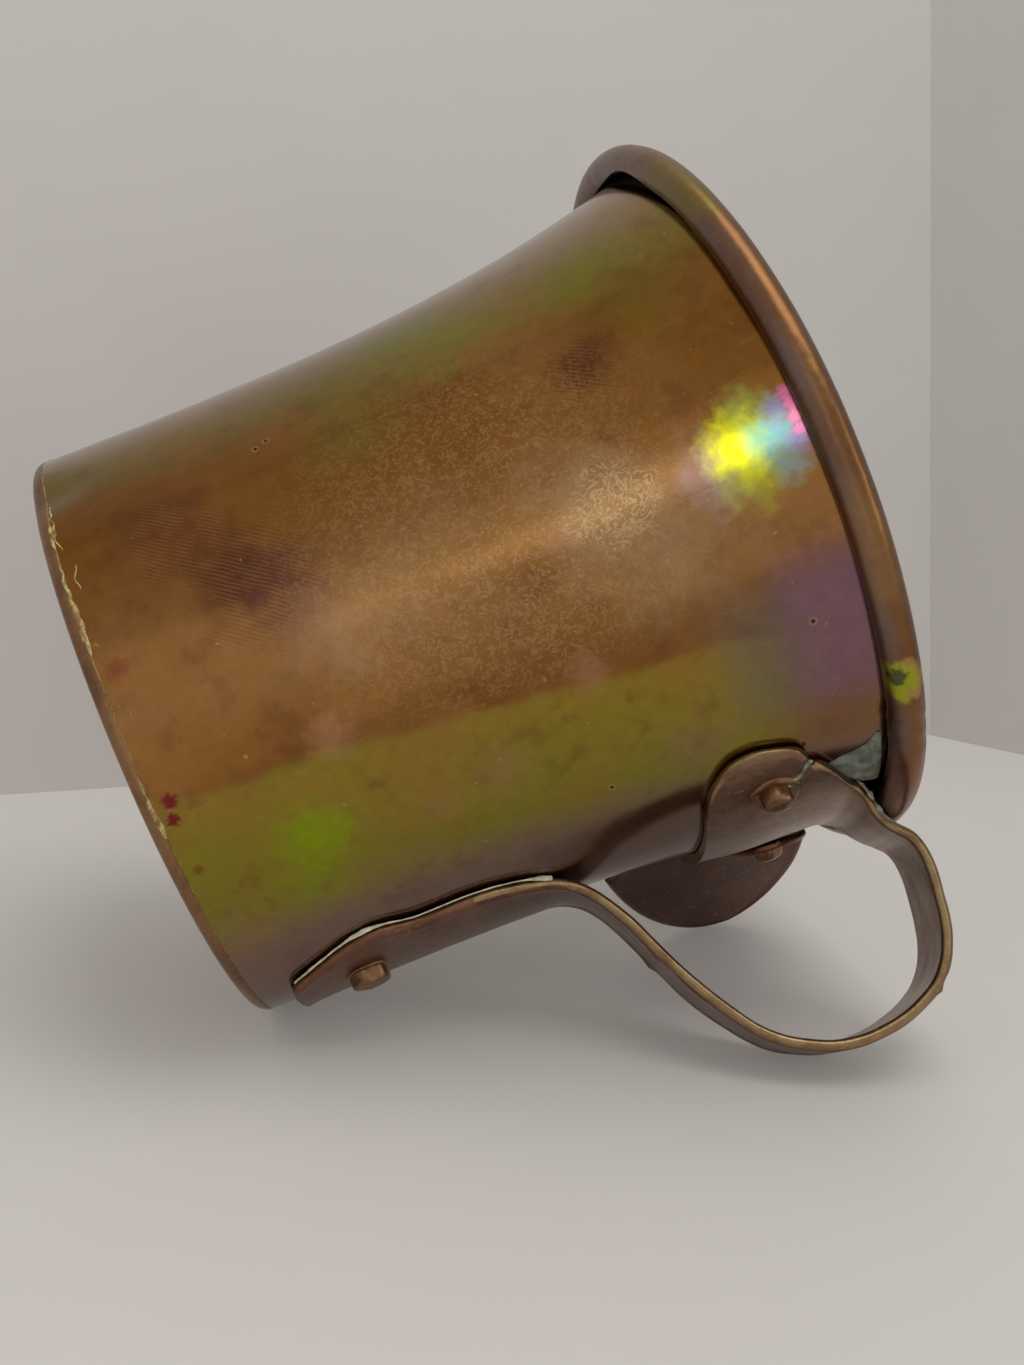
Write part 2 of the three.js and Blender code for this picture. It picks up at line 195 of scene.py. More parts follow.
class Graph:
    """A material's node tree. Values may be numbers, colours or other nodes' outputs."""

    def __init__(self, name):
        self.material = bpy.data.materials.new(name)
        self.material.use_nodes = True
        self.tree = self.material.node_tree
        self.tree.nodes.clear()
        self.output = self.node("ShaderNodeOutputMaterial")
        place = self.node("ShaderNodeTexCoord").outputs["Object"]
        self.place = self.vector("SCALE", place, scale=1 / MM)

    def feed(self, socket, value):
        if isinstance(value, bpy.types.NodeSocket):
            self.tree.links.new(value, socket)
        elif socket.type == "RGBA" and len(value) == 3:
            socket.default_value = (*value, 1.0)
        else:
            socket.default_value = value

    def node(self, kind, inputs=(), **settings):
        made = self.tree.nodes.new(kind)
        for key, value in settings.items():
            setattr(made, key, value)
        for key, value in dict(inputs).items():
            self.feed(made.inputs[key], value)
        return made

    def math(self, operation, a, b=0.0):
        return self.node("ShaderNodeMath", {0: a, 1: b}, operation=operation).outputs[0]

    def vector(self, operation, a, b=(0.0, 0.0, 0.0), scale=1.0):
        made = self.node("ShaderNodeVectorMath", {0: a, 1: b}, operation=operation)
        if operation == "SCALE":
            made.inputs["Scale"].default_value = scale
        return made.outputs["Value" if operation == "DISTANCE" else "Vector"]

    def mix(self, factor, a, b, blend="MIX"):
        made = self.node("ShaderNodeMix", data_type="RGBA", blend_type=blend)
        self.feed(made.inputs[0], factor)
        self.feed(made.inputs[6], a)
        self.feed(made.inputs[7], b)
        return made.outputs[2]

    def scaled(self, value, factor):
        return self.math("MULTIPLY", value, factor)

    def swing(self, value, width):
        """A 0 to 1 value turned into one that runs `width` from end to end, with its middle at 0."""
        return self.scaled(self.math("SUBTRACT", value, 0.5), width)

    def paint(self, colour, where, strength, metal):
        """Lays another metal colour over `colour`, where `where` is 1."""
        return self.mix(self.scaled(where, strength), colour, metal)

    def grained(self, colour, fine, dark, light):
        return self.mix(1.0, colour, self.mix(fine, dark, light), "MULTIPLY")

    def step(self, value, low, high):
        """0 at `low`, 1 at `high`, and smooth between. `high` may be the smaller."""
        inputs = {"Value": value, "From Min": low, "From Max": high}
        return self.node("ShaderNodeMapRange", inputs, interpolation_type="SMOOTHSTEP").outputs[0]

    def noise(self, size, detail=3.0, roughness=0.5, distortion=0.0, place=None):
        inputs = {
            "Vector": self.place if place is None else place,
            "Scale": 1 / size,
            "Detail": detail,
            "Roughness": roughness,
            "Distortion": distortion,
        }
        return self.node("ShaderNodeTexNoise", inputs).outputs["Fac"]

    def ramp(self, value, stops):
        made = self.node("ShaderNodeValToRGB", {"Fac": value})
        elements = made.color_ramp.elements
        while len(elements) < len(stops):
            elements.new(0.5)
        for element, (position, colour) in zip(elements, stops):
            element.position = position
            element.color = (*colour, 1.0)
        return made.outputs["Color"]

    def spot(self, centre, radius, soft=0.5, wobble=0.35):
        """1 inside a patch of the given radius round a point in millimetres, with an uneven edge."""
        distance = self.vector("DISTANCE", self.place, tuple(centre))
        uneven = self.swing(self.noise(radius * 0.6), radius * wobble * 4)
        reach = self.math("ADD", distance, uneven)
        return self.step(reach, radius * (1 + soft), radius * (1 - soft))

    def product(self, *values):
        result = values[0]
        for value in values[1:]:
            result = self.scaled(result, value)
        return result

    def finish(self, colour, roughness, metallic=1.0, bump=None, bump_distance=0.05):
        inputs = {"Base Color": colour, "Roughness": roughness, "Metallic": metallic}
        shader = self.node("ShaderNodeBsdfPrincipled", inputs)
        if bump is not None:
            raised = {"Height": bump, "Distance": bump_distance * MM, "Strength": 1.0}
            self.feed(shader.inputs["Normal"], self.node("ShaderNodeBump", raised).outputs[0])
        self.feed(self.output.inputs["Surface"], shader.outputs[0])
        return self.material


def wall_point(degrees, height):
    return on_circle(wall_radius(height), degrees, height)


# Colour round the wall: degrees from the handle, then the metal's colour there. Partly the metal's heat
# tint and partly painted reflection: the step from brown to olive near -55 degrees is the table's near
# edge reflected, with the dark room on the brown side, and the lavender from -25 to +2 degrees is the
# table reflected in the underside.
WALL_TINTS_AND_PAINTED_REFLECTIONS = [
    (-178, (0.28, 0.17, 0.07)),
    (-150, (0.28, 0.19, 0.09)),
    (-134, (0.25, 0.17, 0.07)),
    (-122, (0.19, 0.145, 0.028)),
    (-112, (0.21, 0.092, 0.020)),
    (-98, (0.225, 0.092, 0.017)),
    (-84, (0.25, 0.115, 0.035)),
    (-70, (0.25, 0.120, 0.040)),
    (-60, (0.215, 0.090, 0.022)),
    (-56.5, (0.215, 0.088, 0.022)),
    (-54.5, (0.27, 0.190, 0.030)),
    (-44, (0.24, 0.200, 0.027)),
    (-34, (0.21, 0.190, 0.030)),
    (-25, (0.24, 0.175, 0.080)),
    (-14, (0.28, 0.175, 0.140)),
    (2, (0.30, 0.185, 0.145)),
    (30, (0.23, 0.140, 0.06)),
    (60, (0.26, 0.125, 0.035)),
    (95, (0.22, 0.150, 0.035)),
    (130, (0.27, 0.125, 0.035)),
    (178, (0.28, 0.170, 0.07)),
]
BORDER_LEAN = 0.16  # degrees the tint bands turn for each millimetre of height
BORDER_HEIGHT = 42.0

# Zones of other tint on the wall; the fourth is a painted reflection. Each pair is where the zone starts
# and where it is full, and the paint is its strength and colour.
WALL_TINT_AND_REFLECTION_ZONES = [
    {"heights": [(60, 72)], "degrees": [(-62, -54), (-8, -24)], "paint": (0.8, (0.19, 0.088, 0.055))},
    {"heights": [(66, 72)], "degrees": [(-66, -56), (-34, -44)], "paint": (0.75, (0.22, 0.12, 0.17))},
    {
        "heights": [(58, 66), (73, 67)],
        "degrees": [(-62, -54), (-34, -44)],
        "paint": (0.35, (0.14, 0.17, 0.15)),
    },
    # Lavender over the underside: painted reflection of the table.
    {"heights": [], "degrees": [(-34, -24), (12, -4)], "paint": (0.45, (0.19, 0.125, 0.13))},
    {"heights": [(30, 44)], "degrees": [(-27, -21), (6, -6)], "paint": (0.5, (0.17, 0.085, 0.045))},
]

# Patches on the wall, marks and a painted highlight: degrees, height, radius, colour, strength.
WALL_MARKS_AND_PAINTED_HIGHLIGHT = [
    (-107, 11.5, 5.0, (0.12, 0.035, 0.022), 0.50),
    (-99, 16.5, 3.5, (0.12, 0.035, 0.025), 0.45),
    (-90, 19.5, 4.5, (0.085, 0.022, 0.020), 0.70),
    (-85, 23.0, 4.0, (0.12, 0.040, 0.045), 0.55),
    (-101.6, 59.8, 2.6, (0.085, 0.022, 0.012), 0.75),
    (-104, 62.5, 2.0, (0.10, 0.030, 0.014), 0.45),
    # These five pale patches along about -79 degrees are painted highlight: the faint streak of the small
    # lamp down the wall.
    (-77, 25.5, 4.0, (0.40, 0.23, 0.12), 0.45),
    (-79, 31.0, 5.0, (0.36, 0.20, 0.09), 0.40),
    (-82, 54.0, 5.0, (0.42, 0.26, 0.14), 0.45),
    (-72, 60.0, 7.0, (0.36, 0.24, 0.13), 0.40),
    (-84, 39.0, 6.0, (0.33, 0.19, 0.08), 0.30),
    (-46, 15.6, 3.0, (0.22, 0.34, 0.004), 0.70),
    (-40, 14.0, 4.0, (0.22, 0.26, 0.010), 0.50),
    (-127, 47.0, 7.0, (0.18, 0.20, 0.022), 0.60),
    (-122, 66.0, 4.5, (0.18, 0.19, 0.022), 0.55),
    (-112, 35.0, 5.0, (0.17, 0.15, 0.022), 0.45),
    (-55.9, 48.4, 1.9, (0.37, 0.18, 0.10), 0.60),
    (-61.4, 20.9, 2.0, (0.42, 0.21, 0.11), 0.50),
    (-45, 36.5, 3.0, (0.31, 0.16, 0.085), 0.40),
    (-43, 29.0, 2.0, (0.31, 0.16, 0.085), 0.35),
    (-37, 57.0, 3.4, (0.26, 0.14, 0.09), 0.45),
    (-108, 69.0, 4.0, (0.18, 0.135, 0.015), 0.45),
    (-61.7, 3.3, 0.75, (0.17, 0.006, 0.018), 0.90),
    (-58.5, 2.9, 0.65, (0.17, 0.006, 0.018), 0.90),
    (-84.6, 3.4, 1.0, (0.19, 0.022, 0.026), 0.55),
    (-48.7, 3.0, 0.55, (0.17, 0.018, 0.018), 0.55),
]

# The heat rainbow beside the rim, from its lavender edge across yellow and cyan to magenta: partly the
# metal's tint, partly painted highlight, its near-white yellow middle painted bright where the small
# lamp's highlight falls.
RAINBOW_AND_PAINTED_HIGHLIGHT = [
    (-77.0, 67.9, 3.0, (0.36, 0.27, 0.30), 0.60),
    (-75.5, 71.0, 3.0, (0.40, 0.44, 0.03), 0.75),
    (-82.5, 72.2, 2.4, (0.34, 0.46, 0.08), 0.65),
    (-79.4, 70.6, 2.7, (0.88, 0.90, 0.01), 0.92),
    (-79.0, 73.2, 2.0, (0.24, 0.55, 0.34), 0.75),
    (-78.6, 74.9, 1.6, (0.16, 0.42, 0.50), 0.75),
    (-75.0, 74.6, 1.8, (0.20, 0.34, 0.34), 0.65),
    (-82.0, 75.3, 1.3, (0.28, 0.28, 0.52), 0.70),
    (-77.0, 76.2, 1.0, (0.30, 0.23, 0.50), 0.70),
    (-83.6, 76.8, 0.7, (0.62, 0.17, 0.34), 0.80),
    (-81.8, 76.9, 0.7, (0.70, 0.19, 0.38), 0.80),
    (-80.0, 76.9, 0.7, (0.72, 0.20, 0.40), 0.80),
    (-78.2, 76.9, 0.7, (0.64, 0.20, 0.42), 0.80),
]

# Patches on the roll: three broad stains, then the rubbed yellow-green one with its grey middle.
RIM_PATCHES = [
    (-120, 78.0, 7.0, (0.20, 0.17, 0.035), 0.55),
    (-60, 79.5, 6.0, (0.30, 0.17, 0.07), 0.45),
    (-20, 78.5, 7.0, (0.24, 0.10, 0.055), 0.55),
    (-41.7, 78.2, 2.5, (0.40, 0.27, 0.10), 0.85),
    (-42.0, 77.7, 2.1, (0.34, 0.38, 0.02), 0.95),
    (-42.6, 77.2, 1.2, (0.07, 0.075, 0.05), 0.90),
]

# Small corrosion pits, each a dark dot in a pale ring: degrees and height.
PITS = [(-115.2, 24.9), (-116.2, 26.3), (-52.0, 71.8), (-33.3, 47.0)]

# Blotches left by fingers: degrees, height, radius, softness. Their ridges are about this far apart.
TOUCHED = [(-88, 19.5, 8.5, 0.4), (-103, 14, 6, 0.4), (-100, 59, 4, 0.5)]
RIDGE_SPACING = 0.47


def cylinder_place(graph):
    """Degrees round the axis, height, and the wall unrolled: (arc length, height, 0) in millimetres."""
    x, y, z = graph.node("ShaderNodeSeparateXYZ", {0: graph.place}).outputs
    degrees = graph.scaled(graph.math("ARCTAN2", y, x), 180 / math.pi)
    arc = graph.scaled(degrees, math.pi / 180 * (BASE_RADIUS + NECK_RADIUS) / 2)
    unrolled = graph.node("ShaderNodeCombineXYZ", {0: arc, 1: z}).outputs[0]
    return degrees, z, unrolled


def scratches(graph, unrolled, turn, spacing, length, threshold):
    """Fine lines: noise pulled out along one direction, `turn` degrees from the height axis."""
    inputs = {
        "Vector": unrolled,
        "Rotation": (0, 0, math.radians(turn)),
        "Scale": (1 / spacing, 1 / length, 1),
    }
    stretched = graph.node("ShaderNodeMapping", inputs).outputs[0]
    value = graph.noise(1.0, detail=2, place=stretched)
    return graph.step(value, threshold, threshold + 0.08)


def between(graph, value, rise, fall):
    """1 where the value has passed `rise` and not yet reached `fall`, each a (start, end) pair."""
    return graph.scaled(graph.step(value, *rise), graph.step(value, *fall))


def tint_and_painted_light(graph, degrees, height):
    """The tint bands round the wall, then its blotches, zones and patches: heat tint and marks, with
    painted reflection in the bands and one zone, and painted highlight in some patches and the rainbow.
    """
    broad = graph.noise(14, detail=4)
    lean = graph.scaled(graph.math("SUBTRACT", height, BORDER_HEIGHT), BORDER_LEAN)
    sway = graph.swing(graph.noise(9, detail=2), 9)
    band = graph.math("ADD", graph.math("SUBTRACT", degrees, lean), sway)
    share = graph.math("DIVIDE", graph.math("ADD", band, 180), 360)
    colour = graph.ramp(share, [((tint + 180) / 360, metal) for tint, metal in WALL_TINTS_AND_PAINTED_REFLECTIONS])
    colour = graph.paint(colour, graph.step(broad, 0.42, 0.68), 0.35, (0.31, 0.145, 0.045))
    dark = graph.step(graph.noise(5, detail=5, roughness=0.6), 0.52, 0.70)
    colour = graph.paint(colour, dark, 0.40, (0.13, 0.050, 0.020))
    for zone in WALL_TINT_AND_REFLECTION_ZONES:
        limits = [graph.step(height, *pair) for pair in zone["heights"]]
        limits += [graph.step(degrees, *pair) for pair in zone["degrees"]]
        colour = graph.paint(colour, graph.product(*limits), *zone["paint"])
    for patch_degrees, patch_height, radius, metal, strength in WALL_MARKS_AND_PAINTED_HIGHLIGHT + RAINBOW_AND_PAINTED_HIGHLIGHT:
        soft = 0.5 if radius < 1 else 0.85
        patch = graph.spot(wall_point(patch_degrees, patch_height), radius, soft=soft, wobble=0.5)
        colour = graph.paint(colour, patch, strength, metal)
    return colour


def speckle(graph, colour, degrees):
    """Worm-like speckle in the middle of the front, and a coarser etched patch nearer the rim."""
    near = graph.vector("DISTANCE", graph.place, tuple(wall_point(-82, 44)))
    middle = graph.product(graph.step(near, 30, 10), graph.step(degrees, -52, -60))
    worm = between(graph, graph.noise(0.75, detail=1.5, distortion=1.2), (0.50, 0.56), (0.66, 0.60))
    colour = graph.mix(graph.product(worm, middle, 0.42), colour, (0.38, 0.24, 0.115))
    etched_area = graph.spot(wall_point(-79, 56.8), 4.6, soft=0.3)
    etched = between(graph, graph.noise(1.5, detail=1.0, distortion=2.5), (0.45, 0.50), (0.60, 0.54))
    colour = graph.paint(colour, graph.scaled(etched, etched_area), 0.70, (0.48, 0.33, 0.17))
    return colour, graph.math("MAXIMUM", etched_area, middle)


def finger_ridges(graph, colour, unrolled):
    slanted = graph.node("ShaderNodeMapping", {"Vector": unrolled, "Rotation": (0, 0, 0.7)}).outputs[0]
    inputs = {
        "Vector": slanted,
        "Scale": 1 / RIDGE_SPACING / math.pi,
        "Distortion": 3.0,
        "Detail": 1.0,
        "Detail Scale": 0.35,
    }
    waves = graph.node("ShaderNodeTexWave", inputs).outputs["Fac"]
    touched = 0.0
    for spot_degrees, height, radius, soft in TOUCHED:
        spot = graph.spot(wall_point(spot_degrees, height), radius, soft=soft)
        touched = graph.math("MAXIMUM", touched, spot)
    broken = graph.step(graph.noise(2.5), 0.35, 0.6)
    ridge = graph.product(graph.step(waves, 0.45, 0.75), touched, broken)
    return graph.paint(colour, ridge, 0.32, (0.34, 0.18, 0.07))


def corrosion_pits(graph, colour):
    """A dark dot inside a pale ring at each pit. Also gives where the dots are."""
    pitted = 0.0
    for pit_degrees, pit_height in PITS:
        distance = graph.vector("DISTANCE", graph.place, tuple(wall_point(pit_degrees, pit_height)))
        ring = between(graph, distance, (0.20, 0.32), (0.56, 0.40))
        colour = graph.paint(colour, ring, 0.45, (0.40, 0.26, 0.13))
        dot = graph.step(distance, 0.28, 0.16)
        colour = graph.mix(dot, colour, (0.05, 0.02, 0.01))
        pitted = graph.math("MAXIMUM", pitted, dot)
    return colour, pitted


def wall_material():
    graph = Graph("wall_tint_and_painted_light_copper")
    degrees, height, unrolled = cylinder_place(graph)
    fine = graph.noise(1.6, detail=6, roughness=0.65)
    colour = tint_and_painted_light(graph, degrees, height)
    colour, matt = speckle(graph, colour, degrees)
    colour = finger_ridges(graph, colour, unrolled)
    colour, pitted = corrosion_pits(graph, colour)

    upright = scratches(graph, unrolled, 8, 0.22, 14, 0.66)
    slanting = scratches(graph, unrolled, -52, 0.25, 8, 0.70)
    lines = graph.math("MAXIMUM", upright, slanting)
    colour = graph.paint(colour, lines, 0.20, (0.42, 0.27, 0.12))
    flecks = graph.step(graph.noise(0.9, detail=2), 0.73, 0.76)
    colour = graph.paint(colour, flecks, 0.5, (0.42, 0.29, 0.11))
    colour = graph.grained(colour, fine, (0.80, 0.78, 0.76), (1.18, 1.16, 1.14))

    roughness = graph.math("ADD", 0.12, graph.scaled(fine, 0.08))
    roughness = graph.math("ADD", roughness, graph.scaled(matt, 0.08))
    relief = graph.math("ADD", graph.scaled(fine, 0.5), graph.scaled(lines, -0.25))
    relief = graph.math("SUBTRACT", relief, graph.scaled(pitted, 1.5))
    return graph.finish(colour, roughness, bump=relief, bump_distance=0.014)


def sheet_material(name, base, dark, third, size=6.0):
    """Tarnished sheet copper in three broken-up tones, with fine scratches and grain."""
    graph = Graph(name)
    broad = graph.step(graph.noise(size, detail=5, roughness=0.6), 0.38, 0.66)
    colour = graph.mix(broad, base, dark)
    tinted = graph.step(graph.noise(size * 1.7, detail=3), 0.50, 0.72)
    colour = graph.paint(colour, tinted, 0.6, third)
    fine = graph.noise(0.9, detail=6, roughness=0.7)
    lines = graph.math(
        "MAXIMUM",
        scratches(graph, graph.place, 20, 0.16, 6, 0.66),
        scratches(graph, graph.place, 75, 0.20, 9, 0.69),
    )
    colour = graph.paint(colour, lines, 0.30, (0.60, 0.42, 0.24))
    colour = graph.grained(colour, fine, (0.70, 0.68, 0.66), (1.28, 1.24, 1.20))
    roughness = graph.math("ADD", 0.22, graph.scaled(fine, 0.16))
    relief = graph.math("ADD", fine, graph.scaled(lines, -0.4))
    return graph.finish(colour, roughness, bump=relief, bump_distance=0.05)


def rim_material():
    """The roll: greyer by the groove, orange-brown outside, with a rubbed yellow patch."""
    graph = Graph("rim_copper")
    height = graph.node("ShaderNodeSeparateXYZ", {0: graph.place}).outputs[2]
    level = graph.math("ADD", height, graph.swing(graph.noise(6, detail=3), 2.2))
    colour = graph.mix(graph.step(level, 77.2, 78.9), (0.18, 0.120, 0.100), (0.200, 0.100, 0.042))
    colour = graph.mix(graph.step(level, 79.3, 80.6), colour, (0.20, 0.125, 0.085))
    cloud = graph.step(graph.noise(8, detail=4, roughness=0.6), 0.48, 0.66)
    colour = graph.paint(colour, cloud, 0.5, (0.16, 0.075, 0.032))
    for degrees, patch_height, radius, metal, strength in RIM_PATCHES:
        centre = on_circle(RIM_RADIUS - 0.4, degrees, patch_height)
        colour = graph.paint(colour, graph.spot(centre, radius, soft=0.35, wobble=0.5), strength, metal)
    fine = graph.noise(0.9, detail=6, roughness=0.7)
    lines = scratches(graph, graph.place, 35, 0.2, 7, 0.68)
    colour = graph.paint(colour, lines, 0.25, (0.42, 0.30, 0.16))
    colour = graph.grained(colour, fine, (0.74, 0.72, 0.70), (1.24, 1.20, 1.16))
    roughness = graph.math("ADD", 0.25, graph.scaled(fine, 0.14))
    relief = graph.math("ADD", graph.noise(3.0, detail=2), graph.scaled(fine, 0.12))
    return graph.finish(colour, roughness, bump=relief, bump_distance=0.12)


def crust_material(name, pale, stain, metallic=0.0, size=0.7):
    """Dull crusted filler: verdigris over solder, or brass braze, with pits."""
    graph = Graph(name)
    lumps = graph.noise(size, detail=6, roughness=0.7)
    colour = graph.mix(graph.step(lumps, 0.40, 0.62), stain, pale)
    dirt = graph.step(graph.noise(size * 2.3, detail=4), 0.60, 0.72)
    colour = graph.paint(colour, dirt, 0.6, (0.10, 0.07, 0.04))
    roughness = graph.math("ADD", 0.5, graph.scaled(lumps, 0.35))
    return graph.finish(colour, roughness, metallic=metallic, bump=lumps, bump_distance=0.18)


wall_copper = wall_material()
rim_copper = rim_material()

# Sheet metals: name, main tone, dark tone, third tone, and the size of the clouds of tone.
SHEETS = {
    "inner_copper": ((0.26, 0.15, 0.09), (0.17, 0.095, 0.06), (0.24, 0.20, 0.16), 9),
    "base_copper": ((0.26, 0.14, 0.07), (0.17, 0.09, 0.05), (0.23, 0.18, 0.08), 9),
    "strap_copper": ((0.21, 0.105, 0.065), (0.13, 0.062, 0.036), (0.20, 0.125, 0.095), 5),
    "strap_inner_copper": ((0.25, 0.155, 0.10), (0.17, 0.095, 0.06), (0.24, 0.165, 0.13), 4),
    # Rubbed copper along the strap's edge, painted lighter still to stand for the highlight on the rolled
    # edge.
    "rubbed_highlit_edge_copper": ((0.30, 0.215, 0.115), (0.20, 0.125, 0.065), (0.38, 0.29, 0.165), 3.5),
    # The wing is darker than the other copper: painted shade and dark reflection, for the mug's shadow it
    # lies in.
    "wing_painted_shade_copper": ((0.12, 0.055, 0.035), (0.08, 0.04, 0.03), (0.14, 0.08, 0.06), 8),
    "rivet_copper": ((0.26, 0.145, 0.08), (0.16, 0.08, 0.045), (0.30, 0.19, 0.12), 2.0),
}
sheets = {name: sheet_material(name, *tones) for name, tones in SHEETS.items()}
verdigris = crust_material("verdigris_solder", (0.36, 0.41, 0.31), (0.13, 0.135, 0.095))
dull_solder = crust_material("dull_solder", (0.20, 0.23, 0.18), (0.10, 0.10, 0.075), size=1.8)
pale_solder = crust_material("pale_solder", (0.78, 0.76, 0.58), (0.48, 0.46, 0.30), size=1.4)
braze_metal = crust_material("brass_braze", (0.62, 0.56, 0.22), (0.30, 0.17, 0.08), metallic=0.7, size=1.2)
iron = crust_material("rim_wire_iron", (0.10, 0.08, 0.07), (0.05, 0.04, 0.035), metallic=0.6, size=1.0)

# ---- The wall and its rolled rim ----

SLOT_DEGREES = -138  # where the roll has opened and shows its hollow
SLOT_SPREAD = 11
SLOT_OPENING = 46  # how far round its own section the roll stops short there, in degrees


def dented(point, degrees):
    """Hand-raised unevenness, a knock at the base corner and two nicks in the rim."""
    height = point.z
    push = 0.14 * ripple(point, 17) + 0.05 * ripple(point, 6, 3.0)
    push -= 0.7 * bump_at(angle_gap(degrees, -126), 0, 6) * bump_at(height, 2.5, 3.2)
    for nick_degrees, depth in ((-33.5, 0.30), (-30.5, 0.22)):
        push -= depth * bump_at(angle_gap(degrees, nick_degrees), 0, 0.9) * smooth(height, 76, 78)
    push -= 0.10 * bump_at(angle_gap(degrees, -100), 0, 5) * smooth(height, 76, 78)
    push *= smooth(height, -1, 1.5)
    outward = Vector((point.x, point.y, 0)).normalized()
    return point + outward * push


def roll_point(radius, degrees):
    turn = math.radians(degrees)
    return (ROLL_CENTRE_RADIUS + radius * math.cos(turn), ROLL_CENTRE_HEIGHT + radius * math.sin(turn))


WALL_STEPS = 56
ROLL_STEPS = 30
ROLL_START = 158
ROLL_END = -138


def wall_profile(degrees):
    opened = bump_at(angle_gap(degrees, SLOT_DEGREES), 0, SLOT_SPREAD)
    waver = 6 * ripple(on_circle(10, degrees, 0), 4.0)
    end = ROLL_END + SLOT_OPENING * opened + waver
    outside = []
    inside = []
    for step in range(WALL_STEPS + 1):
        height = lerp(WALL_BOTTOM, NECK_HEIGHT + 0.4, step / WALL_STEPS)
        outside.append((wall_radius(height), height))
        inside.append((wall_radius(height) - WALL_THICKNESS, height))
    turns = [lerp(ROLL_START, end, step / ROLL_STEPS) for step in range(ROLL_STEPS + 1)]
    lining = [roll_point(ROLL_RADIUS - ROLL_SHEET, turn) for turn in turns]
    skin = [roll_point(ROLL_RADIUS, turn) for turn in turns]
    return outside + lining + skin[::-1] + inside[::-1]


WALL_LOOP = 2 * (WALL_STEPS + 1) + 2 * (ROLL_STEPS + 1)


def wall_slot(row, column):
    if column < WALL_STEPS + 1:
        return 0
    if column < WALL_LOOP - WALL_STEPS - 2:
        return 1
    return 2


wall_metals = [wall_copper, rim_copper, sheets["inner_copper"]]
body_wall = turned_piece("mug_wall", wall_profile, wall_metals, 288, shift=dented, slot_of=wall_slot)

# ---- The wire in the roll ----

WIRE_RADIUS = 0.95
WIRE_SIDES = 12


def wire_profile(degrees):
    return [roll_point(WIRE_RADIUS, 360 * side / WIRE_SIDES) for side in range(WIRE_SIDES)]


rim_wire = turned_piece("rim_wire_core", wire_profile, [iron], steps=128)

# ---- Base disc and braze ----

BASE_THICKNESS = 1.5
BASE_CORNER = 1.3
BASE_RINGS = 24
BASE_CORNER_STEPS = 8
BASE_TOP_RINGS = 8


def base_profile():
    """(radius, height) from the middle of the underside, round the corner, to the middle of the top."""
    profile = []
    flat_radius = BASE_RADIUS - BASE_CORNER
    for ring in range(1, BASE_RINGS + 1):
        out = ring / BASE_RINGS
        profile.append((flat_radius * ring / BASE_RINGS, (0.18 + 0.03 * math.sin(ring * 1.9)) * (1 - out)))
    for step in range(1, BASE_CORNER_STEPS + 1):
        turn = -math.pi / 2 + step / BASE_CORNER_STEPS * math.pi / 2
        radius = flat_radius + BASE_CORNER * math.cos(turn)
        profile.append((radius, BASE_CORNER + BASE_CORNER * math.sin(turn)))
    profile.append((BASE_RADIUS - 0.05, BASE_THICKNESS))
    for ring in range(BASE_TOP_RINGS, 0, -1):
        profile.append(((BASE_RADIUS - 1.2) * ring / BASE_TOP_RINGS, BASE_THICKNESS))
    return profile


def make_base(steps=160):
    """A disc with a softened corner and faint rings from hammering, pressed in a hair at its middle."""
    loops = []
    for radius, height in base_profile():
        loop = []
        for step in range(steps):
            degrees = 360 * step / steps
            loop.append(dented(on_circle(radius, degrees, height), degrees))
        loops.append(loop[::-1])
    return loops_piece("mug_base", loops, [sheets["base_copper"]])


base_disc = make_base()

BRAZE_HEIGHT = 1.55


def braze_line(run, share):
    """A point on the mug's corner along one run of braze."""
    degrees = lerp(run["from"], run["to"], share)
    height = run["height"] + run["waver"] * ripple(on_circle(BASE_RADIUS, degrees, 0), 1.6, run["from"])
    return dented(on_circle(BASE_RADIUS + run["proud"], degrees, height), degrees)


# The seam all round, then the threads and smears of braze left standing on it.
BRAZE_SEAM = {"from": 0, "to": 358, "height": BRAZE_HEIGHT, "waver": 0.04, "proud": -0.16, "radius": 0.12}
BRAZE_RUNS = [
    {"from": -123, "to": -109, "height": 1.9, "waver": 0.5, "proud": 0.0, "radius": 0.13},
    {"from": -117, "to": -110, "height": 1.5, "waver": 0.3, "proud": -0.12, "radius": 0.28},
    {"from": -106, "to": -97, "height": 1.4, "waver": 0.3, "proud": -0.03, "radius": 0.14},
    {"from": -101, "to": -88, "height": 1.6, "waver": 0.2, "proud": -0.12, "radius": 0.38},
    {"from": -105, "to": -100, "height": 2.9, "waver": 0.9, "proud": 0.0, "radius": 0.09},
    {"from": -67, "to": -63, "height": 1.4, "waver": 0.3, "proud": -0.05, "radius": 0.16},
    {"from": -63.5, "to": -56, "height": 1.4, "waver": 0.2, "proud": -0.12, "radius": 0.34},
    {"from": -160, "to": -151, "height": 1.6, "waver": 0.4, "proud": -0.05, "radius": 0.20},
    {"from": 14, "to": 27, "height": 1.6, "waver": 0.4, "proud": -0.08, "radius": 0.28},
    {"from": 72, "to": 80, "height": 1.6, "waver": 0.3, "proud": -0.05, "radius": 0.22},
    {"from": 133, "to": 147, "height": 1.6, "waver": 0.4, "proud": -0.08, "radius": 0.26},
]

# ---- Sheet pieces with rolled edges and a lighter edge band ----

SECTION_HALF_STEPS = 28


def section_shares():
    """Positions across a strip from -1 to 1, closer together near the two edges."""
    return [-math.cos(math.pi * k / SECTION_HALF_STEPS) for k in range(SECTION_HALF_STEPS + 1)]


SHARES = section_shares()


